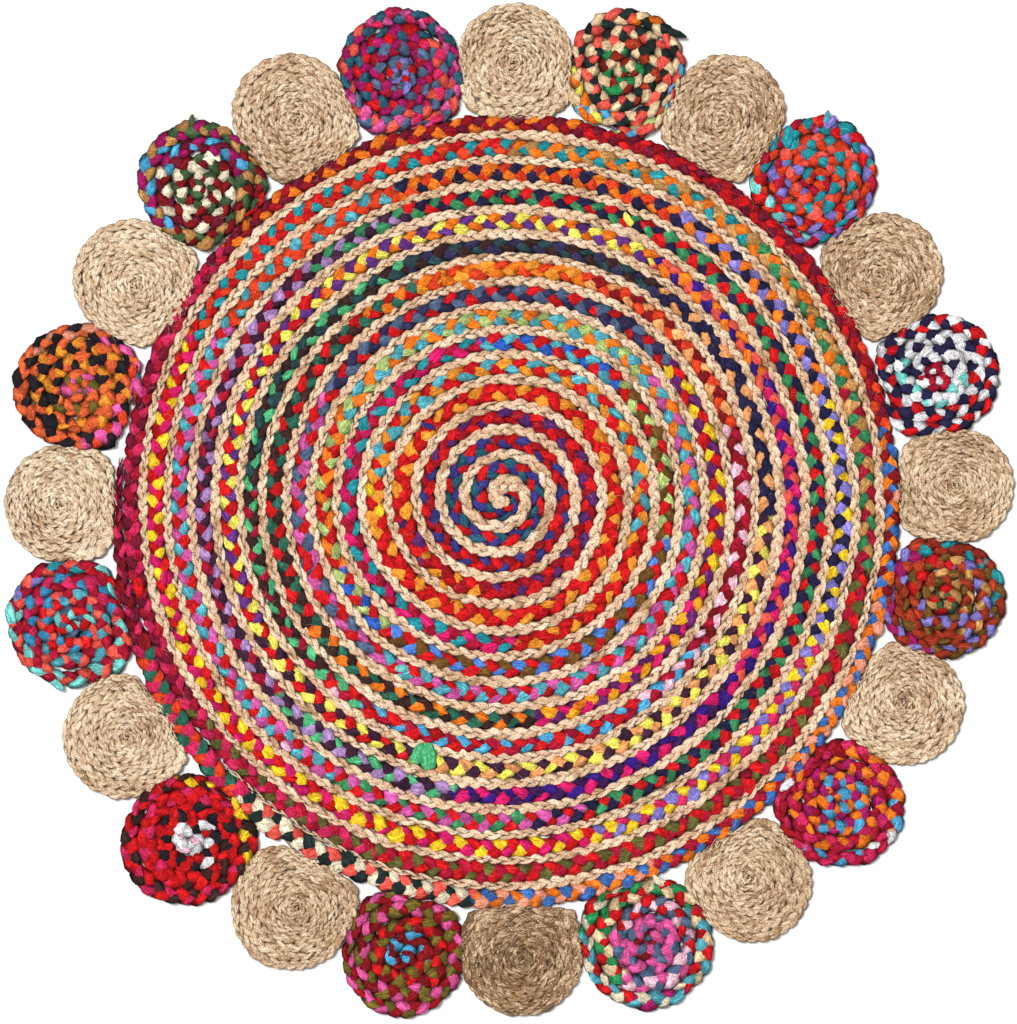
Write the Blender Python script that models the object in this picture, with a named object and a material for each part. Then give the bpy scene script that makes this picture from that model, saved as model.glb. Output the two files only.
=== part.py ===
"""Round rug of jute and cotton rag braid, lying flat.

Two long braids, one of jute and one of cotton rag, lie side by side in one flat spiral and are sewn edge to
edge. A ring of small coils, jute and cotton in turn, is sewn to the rim.
Metres, +Z up. The origin is under the middle of the whole rug, on the floor, and +Y is the side of the
first small coil. The coil winds outward clockwise, seen from above.
"""

import math

import bmesh
import bpy
import numpy as np

# Clear space between neighbouring pieces
GAP = 0.00032

# The coiled middle: one turn outward holds one jute braid and one cotton braid
TURN_PITCH = 0.0297

# The jute's share of the pitch at some turns: its first turns are plaited wider, and its last ones narrower
SHARE_TURNS = (0.17, 0.8, 2.2, 3.2, 11.5, 13.0)
JUTE_SHARES = (0.40, 0.48, 0.46, 0.37, 0.38, 0.34)

# The cotton fills the rest of the pitch, and is this wide along the rim, where nothing lies outside it
COTTON_WIDTH = 0.0200

# Section of the braids, and how much wider the cotton is than usual at some turns of the rim
JUTE_HEIGHT = 0.0080
COTTON_HEIGHT = 0.0090
SHOULDER = 0.60
RIM_TURNS = (13.97, 14.22, 14.90, 14.97)
RIM_WIDER = (0.0, -0.0029, -0.0029, 0.0051)

# Where the coil's middle lies, and how far it has slid across by each metre of reach
COIL_MIDDLE = (-0.0089, 0.0167)
COIL_SLIDE = (0.010, -0.023)
START_DIRECTION = 0.70

# Steps for each turn: coarse near the middle, fine outside
COARSE_STEPS = 18
FINE_STEPS = 36
FINE_FROM_TURN = 4

# The start, in coarse steps. The jute begins as a small knob, steps out as a hook, and the tip of the cotton
# is tucked between the knob and the hook. The knob's reach is given at every step until the plain rule holds.
COTTON_START_STEP = -7
JUTE_START_STEP = -5
KNOB_INNER = 0.0010
KNOB_REACH = (0.0016, 0.0046, 0.0107, 0.0130, 0.0142, 0.0148, 0.0150, 0.0150, 0.0151, 0.0157, 0.0168)
HOOK_STEPS = (9, 13)
TIP_CLEARANCE = 0.0005
TIP_ENDS_STEP = JUTE_START_STEP + 0.5

# The end, in fine steps: the jute stops first, and the cotton tapers away on the turn before
JUTE_FADES_FROM = 14.944
JUTE_END_STEP = 15 * FINE_STEPS + 3
COTTON_FADES_FROM = 15.111
COTTON_END_STEP = 15 * FINE_STEPS + 8
END_SHARE = 0.15

# Unevenness of hand coiling: how much further out the braids lie at some reaches, in metres
UNEVEN_REACH = (0.0, 0.090, 0.150, 0.280, 0.310, 0.460)
UNEVEN_OUT = (0.0, 0.0009, 0.0050, 0.0054, 0.0029, 0.0029)
WAVE_OUT = 0.0018
WAVE_REACH = 0.230
WAVE_SPREAD = 0.110

# The ring of small coils, in metres, clockwise from the top; jute and cotton in turn
RING_MIDDLE = (-0.0024, -0.0036)
RING_COLUMNS = ("angle_deg", "reach", "radius", "colour")
RING_ROWS = (
    (89.0, 0.6034, 0.0692, "jute"),
    (75.0, 0.6163, 0.0690, "cream"),
    (61.2, 0.6097, 0.0690, "jute"),
    (47.3, 0.6131, 0.0710, "red"),
    (32.6, 0.5993, 0.0706, "jute"),
    (17.8, 0.6086, 0.0710, "white"),
    (3.4, 0.6008, 0.0686, "jute"),
    (349.0, 0.5999, 0.0708, "rust"),
    (334.2, 0.5938, 0.0706, "jute"),
    (318.9, 0.6000, 0.0738, "crimson"),
    (303.5, 0.5954, 0.0712, "jute"),
    (288.0, 0.6141, 0.0769, "rose"),
    (271.9, 0.5956, 0.0722, "jute"),
    (256.8, 0.6113, 0.0716, "maroon"),
    (241.5, 0.6057, 0.0720, "jute"),
    (225.6, 0.6210, 0.0769, "crimson"),
    (210.4, 0.5976, 0.0728, "jute"),
    (194.0, 0.6070, 0.0760, "red"),
    (178.8, 0.5945, 0.0716, "jute"),
    (163.7, 0.6057, 0.0746, "orange"),
    (148.0, 0.5930, 0.0712, "jute"),
    (133.0, 0.6078, 0.0716, "maroon"),
    (118.3, 0.6078, 0.0698, "jute"),
    (103.5, 0.6120, 0.0722, "rose"),
)
RING_STEPS = 18
RING_TURNS_COTTON = 4
RING_JUTE_HEIGHT = 0.0084
RING_COTTON_HEIGHT = 0.0094
RING_SIDE = 0.62
RING_VALLEY = 0.76
RING_JUTE_DOME = 0.86
REACH_OVER = 0.0010
REACH_WIDTH = 0.35
CORNER_POWER = 7.0

COLOURS = {
    "jute": (0.58, 0.43, 0.25),
    "cream": (0.78, 0.62, 0.42),
    "white": (0.75, 0.70, 0.68),
    "red": (0.60, 0.05, 0.05),
    "rust": (0.48, 0.10, 0.05),
    "crimson": (0.50, 0.03, 0.10),
    "rose": (0.62, 0.12, 0.22),
    "maroon": (0.24, 0.03, 0.06),
    "orange": (0.72, 0.20, 0.05),
}
ROUGHNESS = 0.9
SHARP_ANGLE_DEG = 35.0


def clear_scene():
    for thing in list(bpy.data.objects):
        bpy.data.objects.remove(thing, do_unlink=True)


def fibre_material(colour):
    """Rough material in one of the named colours, made once and shared."""
    name = colour + "_braid"
    if name in bpy.data.materials:
        return bpy.data.materials[name]
    material = bpy.data.materials.new(name)
    material.use_nodes = True
    shader = material.node_tree.nodes["Principled BSDF"]
    shader.inputs["Base Color"].default_value = (*COLOURS[colour], 1.0)
    shader.inputs["Roughness"].default_value = ROUGHNESS
    shader.inputs["Metallic"].default_value = 0.0
    return material


def add_solid(name, points, faces, colour):
    """One closed solid from points and faces, its faces turned outward."""
    mesh = bpy.data.meshes.new(name)
    shape = bmesh.new()
    corners = [shape.verts.new(point) for point in points]
    for face in faces:
        shape.faces.new([corners[index] for index in face])
    bmesh.ops.recalc_face_normals(shape, faces=shape.faces)
    bmesh.ops.triangulate(shape, faces=shape.faces)
    shape.to_mesh(mesh)
    shape.free()
    mesh.shade_smooth()
    mesh.set_sharp_from_angle(angle=math.radians(SHARP_ANGLE_DEG))
    mesh.materials.append(fibre_material(colour))
    solid = bpy.data.objects.new(name, mesh)
    bpy.context.scene.collection.objects.link(solid)
    return solid


def place_on_coil(reach, turn):
    """X and Y of the spot at this reach from the coil's middle, in the direction of this turn.

    The direction goes clockwise, one full circle for each turn. Hand coiling adds an uneven reach, a slow
    wave round the rug, and a middle that slides across as the coil grows.
    """
    direction = 2.0 * math.pi * (START_DIRECTION - turn)
    bell = math.exp(-(((reach - WAVE_REACH) / WAVE_SPREAD) ** 2))
    wave = WAVE_OUT * bell * (math.cos(2.0 * direction - math.pi / 4.0) - math.cos(3.0 * direction))
    radius = reach + np.interp(reach, UNEVEN_REACH, UNEVEN_OUT) + wave
    x = COIL_MIDDLE[0] + COIL_SLIDE[0] * reach + radius * math.cos(direction)
    y = COIL_MIDDLE[1] + COIL_SLIDE[1] * reach + radius * math.sin(direction)
    return float(x), float(y)


def coil_turns(start_step, end_step):
    """The turns at which a braid has a section, from a coarse step near the middle to a fine step outside."""
    coarse = [step / COARSE_STEPS for step in range(start_step, FINE_FROM_TURN * COARSE_STEPS)]
    fine = [step / FINE_STEPS for step in range(FINE_FROM_TURN * FINE_STEPS, end_step + 1)]
    return coarse + fine


def inner_line(turn):
    """Reach of the line inside the jute: the knob's own middle, then the hook, then the plain spiral."""
    hook_from, hook_to = (step / COARSE_STEPS for step in HOOK_STEPS)
    if turn < hook_to:
        return float(np.interp(turn, (hook_from, hook_to), (KNOB_INNER, TURN_PITCH * hook_to)))
    return TURN_PITCH * turn


def border_line(turn):
    """Reach of the line between jute and cotton. It runs in to the turn before where the jute ends."""
    knob_turns = [(COTTON_START_STEP + step) / COARSE_STEPS for step in range(len(KNOB_REACH))]
    if turn < knob_turns[-1]:
        return float(np.interp(turn, knob_turns, KNOB_REACH))
    jute_end = JUTE_END_STEP / FINE_STEPS
    fade = np.interp(turn, (JUTE_FADES_FROM, jute_end, jute_end + 1.0 / FINE_STEPS), (1.0, END_SHARE, 0.0))
    share = np.interp(turn, SHARE_TURNS, JUTE_SHARES)
    return float(TURN_PITCH * (turn + share * fade))


def half_gap(turn):
    """Half the clear space between braids, and more at the tucked tip, where their edges turn sharply."""
    at_tip = turn < TIP_ENDS_STEP / COARSE_STEPS
    return GAP / 2.0 + (TIP_CLEARANCE if at_tip else 0.0)


def jute_edges(turn):
    """Inner and outer reach of the jute braid."""
    return inner_line(turn) + GAP / 2.0, border_line(turn) - half_gap(turn)


def cotton_edges(turn):
    """Inner and outer reach of the cotton: pressed narrower along most of the rim, wide near its end."""
    inner = border_line(turn) + half_gap(turn)
    end = COTTON_END_STEP / FINE_STEPS
    width = COTTON_WIDTH - GAP + float(np.interp(turn, RIM_TURNS, RIM_WIDER))
    width *= float(np.interp(turn, (COTTON_FADES_FROM, end), (1.0, END_SHARE)))
    return inner, min(inner + width, inner_line(turn + 1.0) - half_gap(turn))


def braid_solid(name, turns, edges, height, colour):
    """One long braid: a flat-bottomed section with two shoulders and a crown, carried along the coil."""
    points = []
    for turn in turns:
        inner, outer = edges(turn)
        middle = (inner + outer) / 2.0
        section = (
            (inner, 0.0),
            (outer, 0.0),
            (outer, SHOULDER * height),
            (middle, height),
            (inner, SHOULDER * height),
        )
        points += [(*place_on_coil(reach, turn), z) for reach, z in section]
    count = len(section)
    faces = [tuple(range(count)), tuple(range(len(points) - 1, len(points) - 1 - count, -1))]
    for step in range(len(turns) - 1):
        here = step * count
        for corner in range(count):
            after = (corner + 1) % count
            faces.append((here + corner, here + after, here + count + after, here + count + corner))
    return add_solid(name, points, faces, colour)


def centre_braids():
    """The jute braid and the cotton braid of the coiled middle."""
    jute_turns = coil_turns(JUTE_START_STEP, JUTE_END_STEP)
    cotton_turns = coil_turns(COTTON_START_STEP, COTTON_END_STEP)
    braid_solid("centre_jute_braid", jute_turns, jute_edges, JUTE_HEIGHT, "jute")
    braid_solid("centre_cotton_braid", cotton_turns, cotton_edges, COTTON_HEIGHT, "crimson")


def rim_points():
    """The outer edge of the coiled middle, as points one step apart."""
    steps = range(COTTON_END_STEP - FINE_STEPS - 2, COTTON_END_STEP + 1)
    turns = [step / FINE_STEPS for step in steps]
    return np.array([place_on_coil(cotton_edges(turn)[1], turn) for turn in turns])


def ring_coils():
    """The small coils' middles and radii, from their table."""
    coils = [dict(zip(RING_COLUMNS, row)) for row in RING_ROWS]
    for coil in coils:
        angle = math.radians(coil["angle_deg"])
        outward = np.array([math.cos(angle), math.sin(angle)])
        coil["middle"] = np.array(RING_MIDDLE) + (coil["reach"] - coil["radius"]) * outward
    return coils


def contacts(coil, neighbours, rim):
    """Direction and distance of the flats by which a small coil meets the rim and its two neighbours."""
    found = []
    inward = np.array(COIL_MIDDLE) - coil["middle"]
    inward /= np.linalg.norm(inward)
    found.append((math.atan2(inward[1], inward[0]), float(((rim - coil["middle"]) @ inward).min()) - GAP))
    for other in neighbours:
        across = other["middle"] - coil["middle"]
        apart = float(np.linalg.norm(across))
        flat = (apart**2 + coil["radius"] ** 2 - other["radius"] ** 2) / (2.0 * apart)
        found.append((math.atan2(across[1], across[0]), flat - GAP / 2.0))
    return found


def corner_reach(here, rim_flat, side_flat):
    """Reach into the corner between the rim and a neighbour, where the last turn is pressed in and rounded.

    The reaches r1 and r2 to the two flats join as r, with r^-p = r1^-p + r2^-p. Zero outside the corner.
    """
    from_rim = math.remainder(here - rim_flat[0], 2.0 * math.pi)
    from_side = math.remainder(here - side_flat[0], 2.0 * math.pi)
    if from_rim * from_side >= 0.0 or abs(from_rim) + abs(from_side) > math.pi:
        return 0.0
    nearness = [max(0.0, math.cos(from_rim)) / rim_flat[1], max(0.0, math.cos(from_side)) / side_flat[1]]
    return sum(near**CORNER_POWER for near in nearness) ** (-1.0 / CORNER_POWER)


def coil_outline(coil, flats):
    """Outline of a small coil: a circle, swelled to reach its neighbours and pressed flat against them.

    It also fills the corners between the rim and its neighbours. Returns the directions and the radius in
    each, with a point in the middle of every flat.
    """
    spacing = 2.0 * math.pi / RING_STEPS
    directions = [spacing * step for step in range(RING_STEPS)]
    for direction, _ in flats:
        nearest = round(direction / spacing) % RING_STEPS
        directions[nearest] += math.remainder(direction - spacing * nearest, 2.0 * math.pi)
    radii = []
    for here in directions:
        radius = coil["radius"]
        for direction, flat in flats:
            turned = math.remainder(here - direction, 2.0 * math.pi)
            radius += max(0.0, flat + REACH_OVER - coil["radius"]) * math.exp(-((turned / REACH_WIDTH) ** 2))
        radius = max([radius] + [corner_reach(here, flats[0], side) for side in flats[1:]])
        for direction, flat in flats:
            turned = math.cos(here - direction)
            if turned > 0.0:
                radius = min(radius, flat / turned)
        radii.append(radius)
    return directions, radii


def coil_point(coil, direction, radius, height):
    x = coil["middle"][0] + radius * math.cos(direction)
    y = coil["middle"][1] + radius * math.sin(direction)
    return float(x), float(y), height


def coiled_top(coil, directions, radii, first_edge):
    """Points and faces of a ridged top: one braid wound from the middle out, valley lines between the turns.

    A valley point sits at each step of the winding, and a crown point half a turn's width further out. The
    last turn narrows until it meets the edge, whose points start at first_edge in the solid's own list.
    """
    turns = RING_TURNS_COTTON
    steps = turns * RING_STEPS
    first = first_edge + RING_STEPS
    points = []
    for step in range(steps):
        share = step / steps
        radius = radii[step % RING_STEPS]
        height = RING_VALLEY * RING_COTTON_HEIGHT
        points.append(coil_point(coil, directions[step % RING_STEPS], share * radius, height))
    for step in range(steps):
        outer = min(1.0, (step + RING_STEPS) / steps)
        share = (step / steps + outer) / 2.0
        radius = radii[step % RING_STEPS]
        points.append(coil_point(coil, directions[step % RING_STEPS], share * radius, RING_COTTON_HEIGHT))

    def valley(step):
        if step >= steps:
            return first_edge + step % RING_STEPS
        return first + step

    def crown(step):
        return first + steps + step

    faces = [(valley(0), valley(step), valley(step + 1)) for step in range(1, RING_STEPS - 1)]
    faces.append((valley(0), valley(RING_STEPS - 1), valley(RING_STEPS), crown(0)))
    for step in range(steps - 1):
        faces.append((valley(step), valley(step + 1), crown(step + 1), crown(step)))
        faces.append((crown(step), crown(step + 1), valley(step + 1 + RING_STEPS), valley(step + RING_STEPS)))
    faces.append((valley(steps - 1), first_edge, crown(steps - 1)))
    faces.append((crown(steps - 1), first_edge, first_edge + RING_STEPS - 1))
    return points, faces


def domed_top(coil, directions, radii, first_edge):
    """Points and faces of a low dome: the turns of the thin jute braid are too fine to be ridges."""
    first = first_edge + RING_STEPS
    points = []
    for step in range(RING_STEPS):
        radius = RING_JUTE_DOME * radii[step]
        points.append(coil_point(coil, directions[step], radius, RING_JUTE_HEIGHT))
    points.append(coil_point(coil, 0.0, 0.0, RING_JUTE_HEIGHT))
    faces = []
    for step in range(RING_STEPS):
        after = (step + 1) % RING_STEPS
        faces.append((first_edge + step, first_edge + after, first + after, first + step))
        faces.append((first + step, first + after, first + RING_STEPS))
    return points, faces


def ring_solid(name, coil, flats):
    """One small coil: flat below, an upright side, and the top of its kind."""
    directions, radii = coil_outline(coil, flats)
    is_jute = coil["colour"] == "jute"
    side = RING_SIDE * (RING_JUTE_HEIGHT if is_jute else RING_COTTON_HEIGHT)
    points = [coil_point(coil, way, radius, 0.0) for way, radius in zip(directions, radii)]
    points += [coil_point(coil, way, radius, side) for way, radius in zip(directions, radii)]
    faces = [tuple(reversed(range(RING_STEPS)))]
    for step in range(RING_STEPS):
        after = (step + 1) % RING_STEPS
        faces.append((step, after, RING_STEPS + after, RING_STEPS + step))
    make_top = domed_top if is_jute else coiled_top
    top_points, top_faces = make_top(coil, directions, radii, RING_STEPS)
    return add_solid(name, points + top_points, faces + top_faces, coil["colour"])


def ring_of_coils():
    """The small coils round the rim, each against the rim and its two neighbours."""
    coils = ring_coils()
    rim = rim_points()
    for number, coil in enumerate(coils):
        neighbours = (coils[number - 1], coils[(number + 1) % len(coils)])
        kind = "jute" if coil["colour"] == "jute" else "cotton"
        ring_solid(f"medallion_{number + 1:02d}_{kind}", coil, contacts(coil, neighbours, rim))


clear_scene()
centre_braids()
ring_of_coils()
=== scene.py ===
import math

import bpy
import numpy as np
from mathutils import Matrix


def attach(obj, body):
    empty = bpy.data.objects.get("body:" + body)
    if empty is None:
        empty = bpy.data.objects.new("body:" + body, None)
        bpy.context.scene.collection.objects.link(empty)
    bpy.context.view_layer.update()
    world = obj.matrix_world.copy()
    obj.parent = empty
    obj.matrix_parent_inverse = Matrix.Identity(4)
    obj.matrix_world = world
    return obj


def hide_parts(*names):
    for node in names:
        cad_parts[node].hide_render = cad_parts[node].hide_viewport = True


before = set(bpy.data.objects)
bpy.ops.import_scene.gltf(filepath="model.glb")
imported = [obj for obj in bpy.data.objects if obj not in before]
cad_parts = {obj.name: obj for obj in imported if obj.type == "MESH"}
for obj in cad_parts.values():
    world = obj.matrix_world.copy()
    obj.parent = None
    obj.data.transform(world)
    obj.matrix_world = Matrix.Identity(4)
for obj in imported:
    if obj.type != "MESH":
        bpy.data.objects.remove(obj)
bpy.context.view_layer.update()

# ----------------------------------------------------------------------------
# Centre jute braid. One long flat plait of three jute yarns, each a loose bundle of straw-coloured fibre. It
# starts as a small knob, is coiled flat outward and clockwise, and is sewn edge to edge to the cotton braid.

TURN_PITCH = 0.0297
SHARE_TURNS = (0.17, 0.8, 2.2, 3.2, 11.5, 13.0)
JUTE_SHARES = (0.40, 0.48, 0.46, 0.37, 0.38, 0.34)
COIL_MIDDLE = (-0.0089, 0.0167)
COIL_SLIDE = (0.010, -0.023)
START_DIRECTION = 0.70
UNEVEN_REACH = (0.0, 0.090, 0.150, 0.280, 0.310, 0.460)
UNEVEN_OUT = (0.0, 0.0009, 0.0050, 0.0054, 0.0029, 0.0029)
WAVE_OUT = 0.0018
WAVE_REACH = 0.230
WAVE_SPREAD = 0.110

# The knob and the hook at the start, by turns, and the jute's end
KNOB_TURNS = np.arange(-7, 4) / 18.0
KNOB_REACH = (0.0016, 0.0046, 0.0107, 0.0130, 0.0142, 0.0148, 0.0150, 0.0150, 0.0151, 0.0157, 0.0168)
KNOB_INNER = 0.0010
HOOK_TURNS = (9 / 18.0, 13 / 18.0)
JUTE_TURNS = (-5 / 18.0, 15.083)
JUTE_FADE = ((14.944, 15.083, 15.111), (1.0, 0.15, 0.0))

# How the strands of a plait lie: shares of its height, how their sides, rise and roll vary against their
# thickness, and how they narrow at both ends
STRAND_RISE = 0.20
STRAND_THICK = 0.275
SIDE_LOOSE = 0.3
RISE_LOOSE = 0.2
ROLL_LOOSE = 1.5
END_LENGTHS = (0.010, 0.014)
END_SHARES = (0.35, 1.0, 1.0, 0.25)
TIP_LENGTH = 0.001
PULL_LENGTH = 0.045
LOBE_LEAD = 0.25
FLOOR_CLEAR = 0.0002
CREASE_ANGLE = math.radians(42.0)

# Where a corner lies low in the plait and where it is open to the light, as shares of the height
OPEN_FROM = 0.38
OPEN_OVER = 0.45

# The seams between the braids wander a little, as hand sewing does, but not at the start
WANDER_LENGTH = 0.055
WANDER_OUT = 0.0008
WANDER_KNOTS = 1000
CALM_KNOTS = 6

# How the strips of a strand are laid out in rows for a baked picture, and side by side in metres
STRIP_SHIFT = 0.37
ROW_START = 0.004
ROW_LENGTH = 0.992
ROW_FOOT = 0.08
ROW_FILL = 0.84


def on_coil(reach, turn):
    """X and Y at this reach from the coil's middle, in the direction of this turn, clockwise from the start.

    The reach has a slow unevenness and a wave round the rug added, and the middle slides with the reach.
    """
    direction = 2.0 * math.pi * (START_DIRECTION - turn)
    bell = np.exp(-(((reach - WAVE_REACH) / WAVE_SPREAD) ** 2))
    wave = WAVE_OUT * bell * (np.cos(2.0 * direction - math.pi / 4.0) - np.cos(3.0 * direction))
    radius = reach + np.interp(reach, UNEVEN_REACH, UNEVEN_OUT) + wave
    x = COIL_MIDDLE[0] + COIL_SLIDE[0] * reach + radius * np.cos(direction)
    y = COIL_MIDDLE[1] + COIL_SLIDE[1] * reach + radius * np.sin(direction)
    return np.stack((x, y), axis=-1)


def inner_line(turn):
    """Reach of the line inside the jute: inside the knob, out along the hook, then a plain spiral."""
    hook = np.interp(turn, HOOK_TURNS, (KNOB_INNER, TURN_PITCH * HOOK_TURNS[1]))
    return np.where(turn < HOOK_TURNS[1], hook, TURN_PITCH * turn)


def border_line(turn):
    """Reach of the line between jute and cotton: round the knob, then a spiral that fades in at the end."""
    share = np.interp(turn, SHARE_TURNS, JUTE_SHARES)
    spiral = TURN_PITCH * (turn + share * np.interp(turn, *JUTE_FADE))
    return np.where(turn < KNOB_TURNS[-1], np.interp(turn, KNOB_TURNS, KNOB_REACH), spiral)


def bounded(random, amount, shape):
    """Random numbers round zero with this spread, none more than twice as large."""
    return random.normal(0.0, amount, shape).clip(-2.0 * amount, 2.0 * amount)


def wander(turn, seed):
    """A smooth random shift of a seam, with one knot for each stretch of its length, none at the start."""
    length = math.pi * TURN_PITCH * np.maximum(turn, 0.0) ** 2
    knots = bounded(np.random.default_rng(seed), WANDER_OUT, WANDER_KNOTS)
    knots[:CALM_KNOTS] = 0.0
    return np.interp(length / WANDER_LENGTH, np.arange(len(knots)), knots)


def braid_path(turns, inner, outer):
    """Middle line, outward direction and width of a braid between two lines of the coil."""
    inside = on_coil(inner, turns)
    outside = on_coil(outer, turns)
    width = np.linalg.norm(outside - inside, axis=1)
    outward = (outside - inside) / width[:, None]
    return (inside + outside) / 2.0, outward, width


def spoke(angle):
    """One step in a direction, or in each of several."""
    return np.stack((np.cos(angle), np.sin(angle)), axis=-1)


def oval(angles_deg, power):
    """Corners of a strand's section, on a rounded oval of unit half-axes: |x|^power + |y|^power = 1."""
    corners = spoke(np.radians(angles_deg))
    return np.sign(corners) * np.abs(corners) ** (2.0 / power)


def rings_round(line, x, y):
    """Rings of corners round each line, x to its side and y to its top, square to the line, off the floor."""
    forward = np.gradient(line, axis=1)
    forward /= np.linalg.norm(forward, axis=-1, keepdims=True)
    side = np.stack((-forward[..., 1], forward[..., 0], np.zeros(forward.shape[:2])), axis=-1)
    side /= np.linalg.norm(side, axis=-1, keepdims=True)
    top = np.cross(forward, side)
    rings = line[:, :, None, :] + x[..., None] * side[:, :, None, :] + y[..., None] * top[:, :, None, :]
    rings[..., 2] = np.maximum(rings[..., 2], FLOOR_CLEAR)
    return rings


def plait(turns, path, period, seed, lie):
    """Three strands of a flat plait, as rings of corners at even steps of phase.

    A strand zigzags across the braid with rounded turns, as the arcsine of a little less than the sine of its
    phase, and goes up and down as the sine of twice its phase. So the strand on its way from the middle to an
    edge lies on top, where it spreads out into a leaf, and it is pinched below. The three are a third of a
    period apart. Every half period is a little fuller or thinner, further out or in, and higher or lower, and
    every corner is dented in or out. The plait is pulled now tighter, now looser, which changes its period.
    """
    middle, outward, width = path
    section, height, half = lie["section"], lie["height"], lie["half"]
    loose, pull, sharp = lie["loose"], lie["pull"], lie["sharp"]
    random = np.random.default_rng(seed)
    run = np.concatenate(([0.0], np.cumsum(np.linalg.norm(np.diff(middle, axis=0), axis=1))))
    pulls = bounded(random, pull, int(run[-1] / PULL_LENGTH) + 2)
    rate = 2.0 * math.pi / period * (1.0 + np.interp(run / PULL_LENGTH, np.arange(len(pulls)), pulls))
    phase = np.concatenate(([0.0], np.cumsum(np.diff(run) * (rate[1:] + rate[:-1]) / 2.0)))
    at = np.linspace(0.0, phase[-1], int(phase[-1] / (2.0 * math.pi) * lie["per_period"]) + 1)

    def here(values):
        return np.stack([np.interp(at, phase, column) for column in np.atleast_2d(values.T)], axis=-1)

    middle, outward, width = here(middle), here(outward), here(width)[:, 0]
    turn, along = here(turns)[:, 0], here(run)[:, 0]
    swing = at[None, :] + np.arange(3)[:, None] * 2.0 * math.pi / 3.0
    halves = int(swing.max() / math.pi) + 2

    def uneven(amount):
        knots = bounded(random, amount, (3, halves))
        return np.stack([np.interp(swing[s] / math.pi, np.arange(halves), knots[s]) for s in range(3)])

    full = 1.0 + uneven(loose)
    zigzag = np.arcsin(sharp * np.sin(swing)) / math.asin(sharp)
    across = ((0.5 - half) * width + lie["overlap"]) * zigzag + uneven(SIDE_LOOSE * loose) * width
    up = height * (0.5 + STRAND_RISE * np.sin(2.0 * swing) + uneven(RISE_LOOSE * loose))
    line = np.concatenate((middle + across[..., None] * outward, up[..., None]), axis=-1)

    taper = np.interp(along, (0.0, END_LENGTHS[0], along[-1] - END_LENGTHS[1], along[-1]), END_SHARES)
    wide = half * width * full * (1.0 + lie["leaf"] * np.sin(2.0 * swing)) * taper
    thick = STRAND_THICK * height * np.sqrt(full) * taper
    roll = uneven(ROLL_LOOSE * loose)[..., None]
    dent = 1.0 + bounded(random, lie["crumple"], (*swing.shape, len(section)))
    x = dent * (section[:, 0] * np.cos(roll) - section[:, 1] * np.sin(roll))
    y = dent * (section[:, 0] * np.sin(roll) + section[:, 1] * np.cos(roll))
    rings = rings_round(line, wide[..., None] * x, thick[..., None] * y)
    lobe = np.floor(swing / math.pi + LOBE_LEAD).astype(int)
    return {"rings": rings, "along": along, "turn": turn, "lobe": lobe}


def by_lobe(random, strands, level, spread):
    """A random number for each visible lobe of each strand, given at each step along it."""
    numbers = random.normal(level, spread, (3, strands["lobe"].max() + 1))
    return np.take_along_axis(numbers, strands["lobe"], axis=1)


def at_corners(strands, values):
    """The values at the steps of each strand, for every corner of the ring there."""
    return np.repeat(values[:, :, None], strands["rings"].shape[2], axis=2)


def painted_shade_of(strands, lie):
    """Painted shade for each corner, by how open to the light it lies: from 0 low between the strands to 1 on
    top of the plait.

    The sides of a strand are painted darker than its back, as shade, by the share given as edge in its lie.
    """
    share = ((strands["rings"][..., 2] / lie["height"] - OPEN_FROM) / OPEN_OVER).clip(0.0, 1.0)
    return share * share * (3.0 - 2.0 * share) * (1.0 - lie["edge"] * lie["section"][:, 0] ** 2)


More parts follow.
